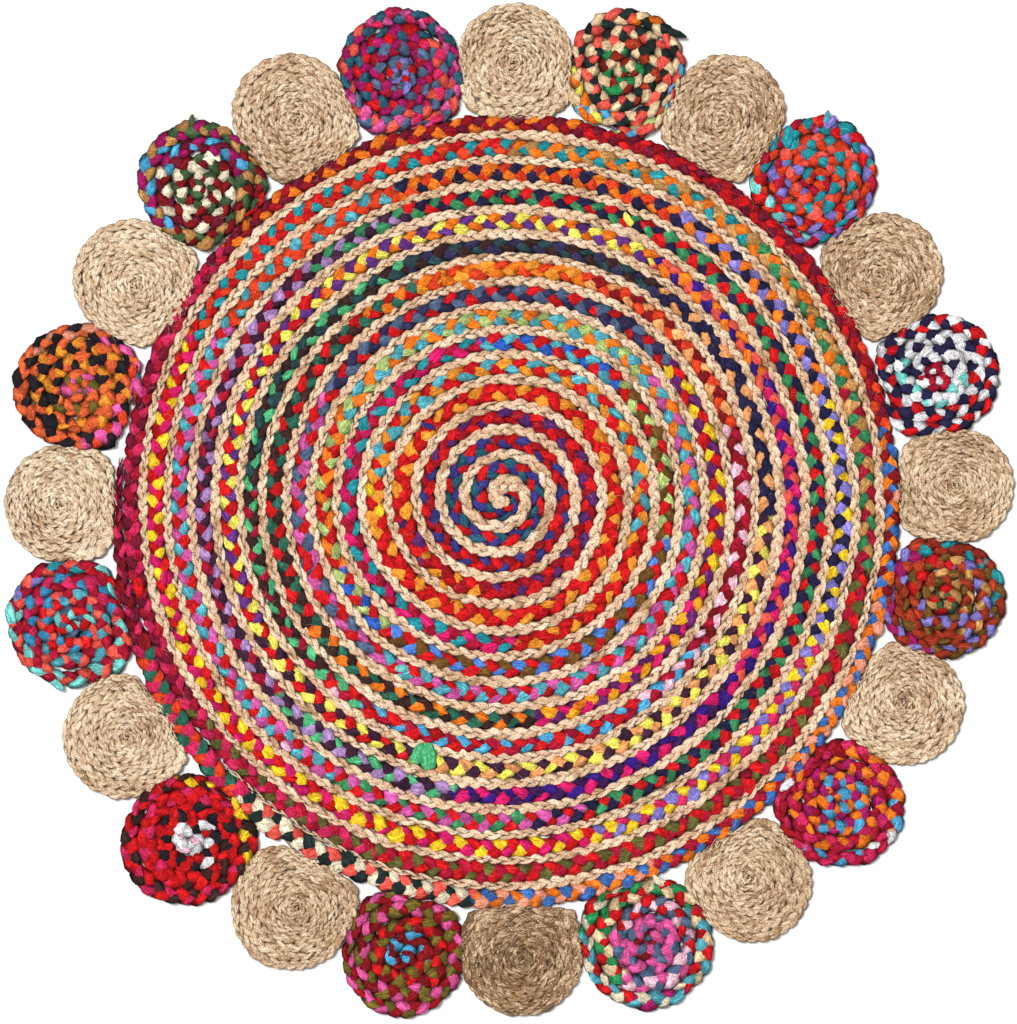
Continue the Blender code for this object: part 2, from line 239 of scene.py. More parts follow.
def strands_object(name, strands, values, material, girth):
    """Closed tubes through the rings of each strand, with a point at each tip.

    Two UV maps lie on them: "strand" is the length along and round the strand in metres, and "OFBake" lays
    the same strips in rows. Each of the values becomes an attribute, of one number or of a colour.
    """
    rings, along = strands["rings"], strands["along"]
    count, steps, sides, _ = rings.shape
    tips = np.stack((rings[:, 0].mean(axis=1), rings[:, -1].mean(axis=1)), axis=1)
    points = np.concatenate((rings.reshape(count, -1, 3), tips), axis=1).reshape(-1, 3)

    first = (np.arange(count) * (steps * sides + 2))[:, None, None]
    step = np.arange(steps - 1)[None, :, None]
    here = np.broadcast_to(np.arange(sides)[None, None, :], (count, steps - 1, sides))
    after = (here + 1) % sides
    low, high = first + step * sides, first + (step + 1) * sides
    quads = np.stack((low + here, low + after, high + after, high + here), axis=-1).reshape(-1, 4)
    edge, next_edge = np.arange(sides)[None, :], ((np.arange(sides) + 1) % sides)[None, :]
    start, end = first[:, :, 0] + steps * sides, first[:, :, 0] + steps * sides + 1
    flat = np.zeros((count, sides), dtype=int)
    last = first[:, :, 0] + (steps - 1) * sides
    start_caps = np.stack((start + flat, first[:, :, 0] + next_edge, first[:, :, 0] + edge), axis=-1)
    end_caps = np.stack((end + flat, last + edge, last + next_edge), axis=-1)
    loops = np.concatenate((quads.ravel(), start_caps.ravel(), end_caps.ravel()))
    sizes = np.concatenate((np.full(len(quads), 4), np.full(2 * count * sides, 3)))

    mesh = bpy.data.meshes.new(name)
    mesh.vertices.add(len(points))
    mesh.vertices.foreach_set("co", points.ravel())
    mesh.loops.add(len(loops))
    mesh.loops.foreach_set("vertex_index", loops)
    mesh.polygons.add(len(sizes))
    mesh.polygons.foreach_set("loop_start", np.cumsum(sizes) - sizes)
    mesh.update(calc_edges=True)
    mesh.shade_smooth()
    mesh.set_sharp_from_angle(angle=CREASE_ANGLE)

    # Place of every face corner in the strips: its column along the strand, and its side round it
    corners = 3 * count * sides
    left = np.broadcast_to(step + 1, here.shape).ravel().repeat(4)
    left = np.concatenate((left, np.zeros(corners), np.full(corners, steps)))
    strand = np.broadcast_to(np.arange(count)[:, None, None], here.shape).ravel().repeat(4)
    strand = np.concatenate((strand, np.tile(np.arange(count).repeat(3 * sides), 2)))
    caps = np.tile((0, 1, 1), count * sides), np.tile((1, 0, 0), count * sides)
    shift = np.concatenate((np.tile((0, 0, 1, 1), len(quads)), *caps))
    sides_quad = here[..., None] + np.array((0, 1, 1, 0))
    sides_start = np.arange(sides)[:, None] + np.array((0.5, 1.0, 0.0))
    sides_end = np.arange(sides)[:, None] + np.array((0.5, 0.0, 1.0))
    tiled = np.tile(sides_start.ravel(), count), np.tile(sides_end.ravel(), count)
    round_it = np.concatenate((sides_quad.ravel(), *tiled))
    columns = np.concatenate(([along[0] - TIP_LENGTH], along, [along[-1] + TIP_LENGTH]))
    lengthwise = columns[(left + shift).astype(int)] + strand * STRIP_SHIFT
    lay_uv(mesh, "strand", lengthwise, round_it / sides * girth)

    intervals = count * (steps + 1)
    rows = max(1, round(math.sqrt(count * along[-1] / girth)))
    per_row = math.ceil(intervals / rows)
    number = strand * (steps + 1) + left
    row = np.floor(number / per_row)
    u = ROW_START + ROW_LENGTH * (number - row * per_row + shift) / per_row
    v = (row + ROW_FOOT + ROW_FILL * round_it / sides) / rows
    lay_uv(mesh, "OFBake", u, v)

    for key, value in values.items():
        ends = np.stack((value[:, 0].mean(axis=1), value[:, -1].mean(axis=1)), axis=1)
        full = np.concatenate((value.reshape(count, steps * sides, *value.shape[3:]), ends), axis=1)
        if value.ndim == 4:
            full = np.concatenate((full, np.ones((*full.shape[:2], 1))), axis=-1)
            mesh.attributes.new(key, "FLOAT_COLOR", "POINT").data.foreach_set("color", full.ravel())
        else:
            mesh.attributes.new(key, "FLOAT", "POINT").data.foreach_set("value", full.ravel())
    mesh.materials.append(material)
    piece = bpy.data.objects.new(name, mesh)
    bpy.context.scene.collection.objects.link(piece)
    return piece


def lay_uv(mesh, name, u, v):
    layer = mesh.uv_layers.new(name=name)
    layer.data.foreach_set("uv", np.stack((u, v), axis=-1).astype(np.float32).ravel())


def single_strands(name, strands, values, material, girth):
    """The three strands of a long braid as one piece each, with their share of the values."""
    for number in range(3):
        share = {key: value[number : number + 1] for key, value in values.items()}
        alone = strands | {"rings": strands["rings"][number : number + 1]}
        yield strands_object(f"{name}_{number + 1}", alone, share, material, girth)


class Wire:
    """One output of a material's nodes. Sums and products of wires add Math nodes."""

    def __init__(self, finish, socket):
        self.finish = finish
        self.socket = socket

    def sum(self, operation, first, second):
        return self.finish.add("ShaderNodeMath", {"operation": operation}, {0: first, 1: second})

    def __add__(self, other):
        return self.sum("ADD", self, other)

    def __radd__(self, other):
        return self.sum("ADD", other, self)

    def __sub__(self, other):
        return self.sum("SUBTRACT", self, other)

    def __rsub__(self, other):
        return self.sum("SUBTRACT", other, self)

    def __mul__(self, other):
        return self.sum("MULTIPLY", self, other)


class Finish:
    """A material, with one way to add any node and join it up."""

    def __init__(self, name):
        self.material = bpy.data.materials.new(name)
        self.material.use_nodes = True
        self.tree = self.material.node_tree
        self.shader = self.tree.nodes["Principled BSDF"]

    def add(self, kind, settings=None, inputs=None, output=0):
        node = self.tree.nodes.new(kind)
        for key, value in (settings or {}).items():
            if key == "stops":
                while len(node.color_ramp.elements) < len(value):
                    node.color_ramp.elements.new(0.5)
                for stop, (place, colour) in zip(node.color_ramp.elements, value):
                    stop.position = place
                    stop.color = (*colour, 1.0)
            else:
                setattr(node, key, value)
        for key, value in (inputs or {}).items():
            self.feed(node.inputs[key], value)
        return Wire(self, node.outputs[output])

    def feed(self, socket, value):
        if isinstance(value, Wire):
            self.tree.links.new(value.socket, socket)
        elif isinstance(value, tuple) and len(value) == 3 and socket.type == "RGBA":
            socket.default_value = (*value, 1.0)
        else:
            socket.default_value = value

    def mix(self, factor, first, second, blend="MIX"):
        settings = {"data_type": "RGBA", "blend_type": blend}
        return self.add("ShaderNodeMix", settings, {0: factor, 6: first, 7: second}, 2)

    def ease(self, value, low, high, to_low=0.0, to_high=1.0):
        return self.add(
            "ShaderNodeMapRange",
            {"interpolation_type": "SMOOTHSTEP"},
            {"Value": value, "From Min": low, "From Max": high, "To Min": to_low, "To Max": to_high},
        )

    def noise(self, vector, scale, detail, roughness=0.5):
        inputs = {"Vector": vector, "Scale": scale, "Detail": detail, "Roughness": roughness}
        return self.add("ShaderNodeTexNoise", {}, inputs)

    def distance(self, value, level):
        return self.add("ShaderNodeMath", {"operation": "ABSOLUTE"}, {0: value - level})

    def stretched(self, vector, factors):
        return self.add("ShaderNodeVectorMath", {"operation": "MULTIPLY"}, {0: vector, 1: factors})

    def attribute(self, name, output="Fac"):
        return self.add("ShaderNodeAttribute", {"attribute_name": name}, {}, output)

    def surface(self, colour, roughness, gloss, bump, depth, height):
        """The shader's colour, roughness and gloss, with a bump of this strength and depth in metres."""
        inputs = {"Strength": bump, "Distance": depth, "Height": height}
        normal = self.add("ShaderNodeBump", {}, inputs)
        names = ("Base Color", "Roughness", "Specular IOR Level", "Normal")
        for name, value in zip(names, (colour, roughness, gloss, normal)):
            self.feed(self.shader.inputs[name], value)
        return self.material

    def flank(self, lie, girth):
        """One along both sides of a strand, nothing on its back: the squared cosine of the way round it."""
        round_it = self.add("ShaderNodeSeparateXYZ", {}, {0: lie}, 1) * (2.0 * math.pi / girth)
        side = self.add("ShaderNodeMath", {"operation": "COSINE"}, {0: round_it})
        return side * side


JUTE_GIRTH = 0.018
STREAK_SCALES = (110.0, 620.0, 1.0)
STITCH_SPECKS = 0.07

# Jute from its darkest tone to its palest, as shares along the tone, and the colour of its brown stretches,
# of its reddish and yellowish spots and of its specks
JUTE_STOPS = [
    (0.0, (0.120, 0.072, 0.034)),
    (0.22, (0.330, 0.190, 0.098)),
    (0.45, (0.660, 0.420, 0.255)),
    (0.70, (0.880, 0.635, 0.430)),
    (1.0, (0.960, 0.800, 0.625)),
]
JUTE_BROWN = (0.420, 0.215, 0.075)
JUTE_REDDISH = (1.0, 0.56, 0.56)
JUTE_YELLOWISH = (0.84, 1.0, 0.72)
JUTE_SPECK = (0.270, 0.072, 0.042)


def jute_finish(name, streaks, tinged, browned, tint, deep, flank_shade):
    """Jute yarn: straw to tan by lobe, with fine streaks of fibre along it, and some orange-brown stretches.

    Spots of it are tinged red or yellow, by as much as given. Painted shade: the low parts go over to the
    dark shade colour, and so do the two sides of every strand, where it dips under the next.
    """
    jute = Finish(name)
    place = jute.add("ShaderNodeTexCoord", output="Object")
    lie = jute.add("ShaderNodeUVMap", {"uv_map": "strand"})
    streak = jute.noise(jute.stretched(lie, STREAK_SCALES), scale=1.0, detail=3.0, roughness=0.70)
    stitched = jute.ease(jute.noise(place, 24.0, 2.0), 0.38, 0.62, 0.0, STITCH_SPECKS)
    speck = jute.ease(jute.noise(place, 640.0, 1.0) + stitched, 0.57, 0.66)
    pale = jute.ease(jute.noise(place, 480.0, 1.0), 0.42, 0.32)
    slow = jute.noise(place, 14.0, 2.0)
    patch = jute.ease(jute.noise(place, 34.0, 2.0), 0.60, 0.72)
    reddish = jute.ease(jute.noise(place, 390.0, 2.0), 0.51, 0.62)
    yellowish = jute.ease(jute.noise(place, 270.0, 2.0), 0.50, 0.66)
    # Painted shade: darker low between the strands and along both flanks of every strand, by the flank share
    # given
    side = jute.ease(jute.flank(lie, JUTE_GIRTH), 0.50, 0.95)
    open_side = jute.ease(jute.attribute("shade"), 0.0, 0.9, 0.10, 1.0) * (1.0 - side * flank_shade)

    tone = jute.attribute("tone") + (streak - 0.5) * streaks + (slow - 0.5) * 0.5 + pale * 0.40
    colour = jute.add("ShaderNodeValToRGB", {"stops": JUTE_STOPS}, {"Fac": tone})
    colour = jute.mix(patch * browned, colour, JUTE_BROWN)
    colour = jute.mix(1.0, colour, tint, "MULTIPLY")
    colour = jute.mix(reddish * tinged, colour, JUTE_REDDISH, "MULTIPLY")
    colour = jute.mix(yellowish * tinged, colour, JUTE_YELLOWISH, "MULTIPLY")
    colour = jute.mix(speck * 0.66, colour, JUTE_SPECK)
    colour = jute.mix(open_side, deep, colour)
    return jute.surface(colour, roughness=0.78, gloss=0.25, bump=0.8, depth=0.0006, height=streak)


# Painted shade of the centre jute: a dark reddish brown in the low parts and on the strand flanks
JUTE_FINISH = jute_finish(
    "jute_yarn", streaks=1.5, tinged=0.60, browned=0.65, tint=(0.945, 0.970, 0.945),
    deep=(0.135, 0.055, 0.026), flank_shade=0.76,
)
JUTE_SECTION = oval((0, 60, 120, 180, 240, 300), 2.2)

# The lie of the strands in metres and shares: the plait's height, the steps in a period, how much painted
# shade the sides get, the half width of a strand and the swell of a lobe, how far it laps over the seam, how
# unevenly it is laid and pulled, how sharply it turns and how dented it is
JUTE_LIE = dict(
    section=JUTE_SECTION, height=0.0082, per_period=14, edge=0.3, half=0.3, leaf=0.19, overlap=0.0018,
    loose=0.19, pull=0.13, sharp=0.6, crumple=0.09,
)
JUTE_PERIODS = ((0.3, 0.9, 1.6, 2.2), (0.030, 0.068, 0.060, 0.049))
JUTE_TONE = (0.70, 0.13)
CENTRE_STEP = 1 / 240.0
INNER_SEAM = 1
BORDER_SEAM = 2

turns = np.arange(*JUTE_TURNS, CENTRE_STEP)
inner = inner_line(turns) + wander(turns, INNER_SEAM)
outer = border_line(turns) + wander(turns, BORDER_SEAM)
braid = plait(turns, braid_path(turns, inner, outer), np.interp(turns, *JUTE_PERIODS), 11, JUTE_LIE)
tone = at_corners(braid, by_lobe(np.random.default_rng(12), braid, *JUTE_TONE))
values = {"tone": tone, "shade": painted_shade_of(braid, JUTE_LIE)}
for piece in single_strands("centre_jute_strand", braid, values, JUTE_FINISH, JUTE_GIRTH):
    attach(piece, "root")
    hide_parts("centre_jute_braid")

# ----------------------------------------------------------------------------
# Centre cotton braid. One long flat plait of three strips of cotton rag, torn or cut from used cloth, with
# a new colour joined on wherever a strip runs out. It lies outside the jute and is sewn to it all round.

COTTON_HEIGHT = 0.0090
COTTON_WIDTH = 0.0200
RIM_TURNS = (13.97, 14.22, 14.90, 14.97)
RIM_WIDER = (0.0, -0.0029, -0.0029, 0.0051)
COTTON_TURNS = (-7 / 18.0, 15.222)
COTTON_FADE = ((15.111, 15.222), (1.0, 0.15))
GAP = 0.00032

# Between the small coils the rim swells out a little: the turn at each gap, and how far
RIM_SWELLS = (
    (14.225, 0.003), (14.268, 0.004), (14.31, 0.003), (14.352, 0.004), (14.393, 0.007), (14.433, 0.005),
    (14.472, 0.005), (14.511, 0.007), (14.549, 0.006), (14.589, 0.006), (14.63, 0.002), (14.671, 0.001),
    (14.917, 0.003), (14.966, 0.005), (15.008, 0.003), (15.051, 0.003),
)
SWELL_LENGTH = 0.0055

DYE_DEPTH = 0.92
DYE_POWER = 1.12
DYE_HAZE = 0.006
JOIN_STAGGER = 0.006
LOBE_TINT = 0.12

# Dyes, as red, green and blue from 0 to 255
DYES = {
    "red": (212, 18, 26), "crimson": (180, 16, 56), "magenta": (220, 28, 112),
    "pale_pink": (244, 196, 212), "coral": (240, 98, 84), "orange": (244, 130, 32),
    "orange_red": (232, 74, 32), "peach": (246, 172, 112), "yellow": (250, 208, 44),
    "amber": (246, 168, 36), "lime": (184, 202, 128), "green": (44, 148, 88), "olive": (108, 104, 52),
    "teal": (42, 158, 168), "aqua": (132, 214, 208), "sky": (88, 178, 220), "blue": (52, 106, 200),
    "navy": (40, 36, 76), "indigo": (62, 26, 134), "purple": (112, 40, 112), "lavender": (142, 132, 206),
    "plum": (102, 30, 72), "dark_red": (142, 12, 24), "brown": (124, 88, 36), "camel": (202, 152, 92),
    "slate": (92, 112, 142), "cream": (240, 226, 198), "white": (238, 236, 238), "black": (38, 30, 38),
    "rust": (172, 62, 32), "brick": (150, 44, 26), "sand": (240, 208, 168), "bottle": (34, 52, 50),
    "fuchsia": (176, 24, 108), "rose": (226, 96, 160), "moss": (126, 110, 42), "sea": (64, 148, 188),
    "sage": (78, 106, 70), "tangerine": (236, 112, 62), "deep_teal": (48, 104, 124),
    "violet_blue": (66, 64, 138), "deep_sea": (46, 100, 120), "dusk": (100, 46, 116),
    "honey": (243, 158, 54), "orchid": (212, 98, 168), "lemon": (252, 240, 108), "mint": (92, 188, 132),
    "leaf": (66, 146, 98), "light_teal": (92, 176, 190), "light_blue": (90, 140, 220),
    "pine": (52, 116, 96), "bark": (68, 40, 36), "dark_teal": (48, 78, 84), "night": (58, 52, 90),
    "dark_plum": (72, 34, 62), "mauve": (176, 140, 190), "heather": (112, 58, 140),
    "aubergine": (70, 25, 90), "raspberry": (212, 44, 98), "cherry": (168, 10, 32), "wine": (126, 16, 52),
    "salmon": (240, 160, 130), "denim": (70, 120, 190),
}

# A row for each of the three strips: its first dye, then each turn at which a new dye is joined on, with
# that dye
CENTRE_STRIPS = (
    "red 4.93 crimson 5.42 red 6.26 light_teal 7.05 slate 7.58 purple 7.92 pine 8.38 orange_red "
    "8.64 dark_red 8.79 crimson 8.85 red 9.07 bark 9.38 night 9.545 navy 9.7 dark_plum 10.12 heather "
    "10.53 indigo 10.97 dark_plum 11.39 navy 11.93 leaf 12.03 red 12.285 orange_red 12.53 lavender "
    "12.9 magenta 13.27 orange_red 13.445 orange 13.64 crimson 13.72 red 14.0 crimson 14.31 cherry "
    "14.66 dark_red 14.73 salmon 14.81 crimson 14.88 salmon 14.955 cream 15.06 pine 15.13 wine",
    "deep_sea 1.42 cherry 3.09 dusk 3.16 red 4.16 honey 4.93 magenta 5.42 blue 5.57 brown 6.06 lime "
    "6.58 orchid 7.28 night 7.58 yellow 7.76 amber 7.92 bark 8.34 orange 8.38 honey 8.5 peach "
    "8.64 pale_pink 8.85 crimson 9.2 dark_teal 9.545 peach 9.99 red 10.33 orange 10.62 magenta "
    "10.97 mauve 11.39 red 12.03 orchid 12.285 orange_red 12.39 orange 12.64 yellow 13.27 teal 13.56 leaf "
    "13.72 olive 14.0 raspberry 14.31 orange 14.475 red 14.62 orange_red 14.66 orange 14.955 coral "
    "15.06 raspberry",
    "violet_blue 2.26 dusk 2.96 honey 3.09 red 3.16 honey 4.16 yellow 4.22 light_teal 4.74 red 4.93 teal "
    "5.42 light_teal 5.57 lime 5.73 light_blue 6.06 blue 6.13 orange 6.7 red 7.76 magenta 7.92 orange "
    "8.1 red 8.38 orange 8.5 dark_red 8.64 crimson 8.79 sky 9.04 mint 9.38 bark 9.545 navy 9.7 lemon "
    "10.53 coral 10.8 aubergine 10.97 mint 11.08 crimson 11.33 leaf 11.9 orchid 12.03 light_teal "
    "12.39 navy 12.76 raspberry 12.9 red 13.445 camel 13.72 crimson 14.0 olive 14.105 wine 14.66 denim "
    "14.955 bottle 15.06 orange_red 15.13 dark_red",
)


def dye_of(name):
    """A dye in linear light, by the usual curve: ((v + 0.055) / 1.055) to the power 2.4. It is deepened a
    little, and given a faint haze.
    """
    light = ((np.array(DYES[name]) / 255.0 + 0.055) / 1.055) ** 2.4
    return DYE_DEPTH * light**DYE_POWER + DYE_HAZE


def dyes_along(strands, chart, seed):
    """Colour of each corner from a chart of strips, each join a little before or after its row says."""
    random = np.random.default_rng(seed)
    colours = []
    for row, late in zip(chart, random.normal(0.0, JOIN_STAGGER, 3)):
        words = row.split()
        stretch = np.searchsorted(np.array(words[1::2], dtype=float), strands["turn"] + late, side="right")
        colours.append(np.array([dye_of(name) for name in words[::2]])[stretch])
    tint = by_lobe(random, strands, 1.0, LOBE_TINT)
    return at_corners(strands, (np.stack(colours) * tint[..., None]).clip(0.0, 1.0))


COTTON_GIRTH = 0.024
CREASE_SCALES = (75.0, 470.0, 1.0)


def cotton_finish():
    """Cotton rag: the strip's own dye, worn unevenly, with lengthwise creases and a fine grain of threads.
    The creases get painted shade and highlight, and the low parts and the two sides of every strand painted
    shade.
    """
    cotton = Finish("cotton_rag")
    place = cotton.add("ShaderNodeTexCoord", output="Object")
    lie = cotton.add("ShaderNodeUVMap", {"uv_map": "strand"})
    crease = cotton.noise(cotton.stretched(lie, CREASE_SCALES), scale=1.0, detail=3.0, roughness=0.65)
    fold = cotton.ease(cotton.distance(crease, 0.5), 0.0, 0.045)
    grain = cotton.noise(place, 560.0, 1.0)
    worn = cotton.noise(place, 170.0, 2.0)
    # Brightness: painted shade and highlight along the creases, with thin dark crease lines, plus real wear
    # and grain
    light = 0.74 + (crease - 0.5) * 2.0 + (worn - 0.5) * 1.1 + (grain - 0.5) * 1.3 + fold * 0.45
    side = cotton.ease(cotton.flank(lie, COTTON_GIRTH), 0.55, 0.97)
    # Painted shade: darker low between the strands and along both flanks of every strand
    level = light * (cotton.ease(cotton.attribute("shade"), 0.0, 1.0, 0.17, 1.0) * (1.0 - side * 0.45))
    grey = cotton.add("ShaderNodeCombineColor", {}, {0: level, 1: level, 2: level})
    colour = cotton.mix(1.0, cotton.attribute("dye", "Color"), grey, "MULTIPLY")
    height = crease + fold * 0.25 + grain * 0.16
    return cotton.surface(colour, roughness=0.85, gloss=0.12, bump=1.0, depth=0.0014, height=height)


COTTON_FINISH = cotton_finish()
COTTON_SECTION = oval((0, 38, 90, 142, 180, 228, 270, 312), 2.5)
COTTON_LIE = dict(
    section=COTTON_SECTION, height=COTTON_HEIGHT, per_period=12, edge=0.4, half=0.305, leaf=0.1,
    overlap=0.0018, loose=0.2, pull=0.1, sharp=0.6, crumple=0.13,
)
COTTON_PERIODS = ((0.0, 2.0, 4.0, 15.0), (0.050, 0.050, 0.053, 0.046))

turns = np.arange(*COTTON_TURNS, CENTRE_STEP)
inner = border_line(turns) + GAP / 2.0
width = (COTTON_WIDTH - GAP + np.interp(turns, RIM_TURNS, RIM_WIDER)) * np.interp(turns, *COTTON_FADE)
for place, out in RIM_SWELLS:
    width = width + out * np.exp(-(((turns - place) / SWELL_LENGTH) ** 2))
outer = np.minimum(inner + width, inner_line(turns + 1.0) - GAP / 2.0)
inner = inner + wander(turns, BORDER_SEAM)
outer = outer + np.where(turns < COTTON_TURNS[1] - 1.0, wander(turns + 1.0, INNER_SEAM), 0.0)
braid = plait(turns, braid_path(turns, inner, outer), np.interp(turns, *COTTON_PERIODS), 21, COTTON_LIE)
values = {"dye": dyes_along(braid, CENTRE_STRIPS, 22), "shade": painted_shade_of(braid, COTTON_LIE)}
for piece in single_strands("centre_cotton_strand", braid, values, COTTON_FINISH, COTTON_GIRTH):
    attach(piece, "root")
    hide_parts("centre_cotton_braid")

# ----------------------------------------------------------------------------
# Jute medallions. Twelve small coils of a thin jute plait, each wound clockwise about eight turns and sewn
# through its turns, then sewn to the rim and to the coil on either side.

RING_JUTE_TURNS = 8
RING_JUTE_END = 7.9
RING_JUTE_PERIODS = (0.0340, 0.0420)
RING_JUTE_LIE = dict(
    section=JUTE_SECTION, height=0.0086, per_period=9, edge=0.2, half=0.29, leaf=0.12, overlap=0.0014,
    loose=0.2, pull=0.08, sharp=0.8, crumple=0.05,
)
RING_JUTE_POWER = 1.22
ROUND_SHARE = 0.35
JOG_FROM = 0.72
COIL_START = -0.2
COIL_STEP = 1 / 180.0
FOOT_HEIGHT = 1e-5

# How pale the jute of each small coil is, from 0 dark to 1 pale, and how much its lobes differ
RING_JUTE_SPREAD = 0.11
RING_JUTE_TONES = (0.58, 0.45, 0.45, 0.53, 0.57, 0.5, 0.21, 0.49, 0.63, 0.66, 0.64, 0.53)
# Painted shade of the coil jute: a dark yellow brown in the low parts and on the strand flanks
RING_JUTE_FINISH = jute_finish(
    "thin_jute_yarn", streaks=1.9, tinged=0.12, browned=0.50, tint=(0.915, 1.0, 0.99),
    deep=(0.140, 0.074, 0.026), flank_shade=0.50,
)


def coil_node(number):
    """The solid of a small coil, by its number clockwise from the top."""
    return f"medallion_{number:02d}_{'jute' if number % 2 else 'cotton'}"


def outline_of(node):
    """Middle of a small coil and its reach in every direction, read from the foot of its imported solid."""
    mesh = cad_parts[node].data
    points = np.empty(3 * len(mesh.vertices))
    mesh.vertices.foreach_get("co", points)
    points = points.reshape(-1, 3)
    foot = np.unique(points[points[:, 2] < FOOT_HEIGHT, :2].round(6), axis=0)
    middle = (foot.min(axis=0) + foot.max(axis=0)) / 2.0
    spokes = foot - middle
    angle = np.arctan2(spokes[:, 1], spokes[:, 0])
    order = np.argsort(angle)
    return middle, angle[order], np.linalg.norm(spokes, axis=1)[order]


OUTLINES = {number: outline_of(coil_node(number)) for number in range(1, 25)}


def reach_toward(number, direction):
    """How far a small coil reaches from its middle in a direction."""
    _, angles, reaches = OUTLINES[number]
    return np.interp(direction, angles, reaches, period=2.0 * math.pi)


def winding(turn, turns_in_all, power):
    """Share of the reach at which a turn's inner edge lies: partly a spiral, partly rings with one jog.

    A power above one makes the inner turns narrower than the outer ones.
    """
    whole = np.floor(turn)
    part = turn - whole
    jog = ((part - JOG_FROM) / (1.0 - JOG_FROM)).clip(0.0, 1.0)
    jog = jog * jog * (3.0 - 2.0 * jog)
    return ((whole + ROUND_SHARE * part + (1.0 - ROUND_SHARE) * jog) / turns_in_all).clip(0.0, 1.0) ** power


def coil_path(number, turns_in_all, turns, power):
    """Middle line, outward direction and width of a braid wound into one small coil.

    Each turn lies between two lines of the winding. A line at a share s of the reach R has the radius
    s (M + (R - M) s^3), with M the middle reach, so it is round inside and takes the outline's form further
    out. The jog from one turn to the next points at the middle of the rug, where the tail is tucked in.
    """
    middle, _, reaches = OUTLINES[number]
    inward = math.atan2(-middle[1], -middle[0])
    direction = inward - 2.0 * math.pi * (turns - (1.0 + JOG_FROM) / 2.0)
    reach = reach_toward(number, direction)
    round_reach = np.median(reaches)

    def line(turn):
        share = winding(turn, turns_in_all, power)
        return share * (round_reach + (reach - round_reach) * share**3)

    inner, outer = line(turns), line(turns + 1.0)
    outward = spoke(direction)
    return middle + ((inner + outer) / 2.0)[:, None] * outward, outward, outer - inner


turns = np.arange(COIL_START, RING_JUTE_END, COIL_STEP)
period = np.interp(turns, (0.0, RING_JUTE_TURNS), RING_JUTE_PERIODS)
for number, level in zip(range(1, 25, 2), RING_JUTE_TONES):
    path = coil_path(number, RING_JUTE_TURNS, turns, RING_JUTE_POWER)
    coil = plait(turns, path, period, 100 + number, RING_JUTE_LIE)
    random = np.random.default_rng(200 + number)
    tone = at_corners(coil, by_lobe(random, coil, level, RING_JUTE_SPREAD))
    values = {"tone": tone, "shade": painted_shade_of(coil, RING_JUTE_LIE)}
    piece = strands_object(f"jute_coil_{number:02d}", coil, values, RING_JUTE_FINISH, JUTE_GIRTH)
    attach(piece, "root")
    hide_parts(coil_node(number))

# ----------------------------------------------------------------------------
# Cotton medallions. Twelve small coils of cotton rag plait, each wound clockwise about four turns and sewn
# through its turns, then sewn to the rim and to the jute coil on either side.

RING_COTTON_TURNS = 4
RING_COTTON_END = 3.87
RING_COTTON_PERIODS = (0.034, 0.052)
RING_COTTON_POWER = 1.05
RING_COTTON_LIE = dict(
    section=COTTON_SECTION, height=0.0095, per_period=12, edge=0.7, half=0.305, leaf=0.1, overlap=0.0014,
    loose=0.21, pull=0.1, sharp=0.6, crumple=0.14,
)
